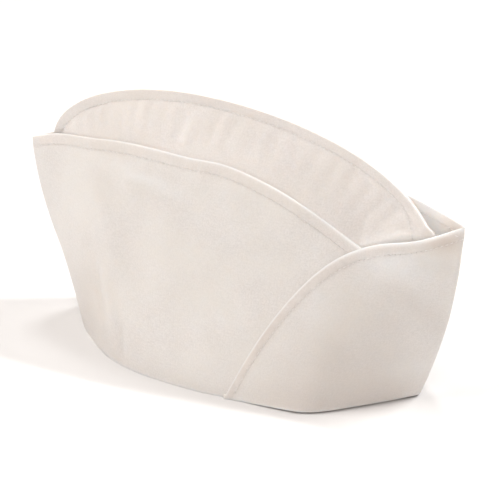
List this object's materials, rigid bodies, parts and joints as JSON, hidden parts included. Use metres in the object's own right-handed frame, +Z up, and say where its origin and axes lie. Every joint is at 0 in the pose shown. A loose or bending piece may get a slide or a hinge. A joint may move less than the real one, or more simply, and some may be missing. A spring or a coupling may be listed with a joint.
{
  "type": "soda fountain cap",
  "caption": "Soft off-white cotton cap of the garrison kind, with a ridged crown and a high turned-up cuff that laps over at the front in a rounded flap. Worn on the head.",
  "frame": {"origin": "middle of the cap's box in plan, at the level of the rim's lower edge", "axes": "+X to the front of the cap, +Y to the wearer's left, +Z up from the rim to the ridge"},
  "size_m": [0.3034, 0.1322, 0.1552],
  "materials": {
    "crown_cloth": "matt off-white cotton twill",
    "cuff_cloth": "matt off-white cotton twill"
  },
  "bodies": {
    "root": {"crown_left": "crown_cloth", "crown_right": "crown_cloth", "cuff_left": "cuff_cloth", "cuff_right": "cuff_cloth"}
  },
  "joints": []
}
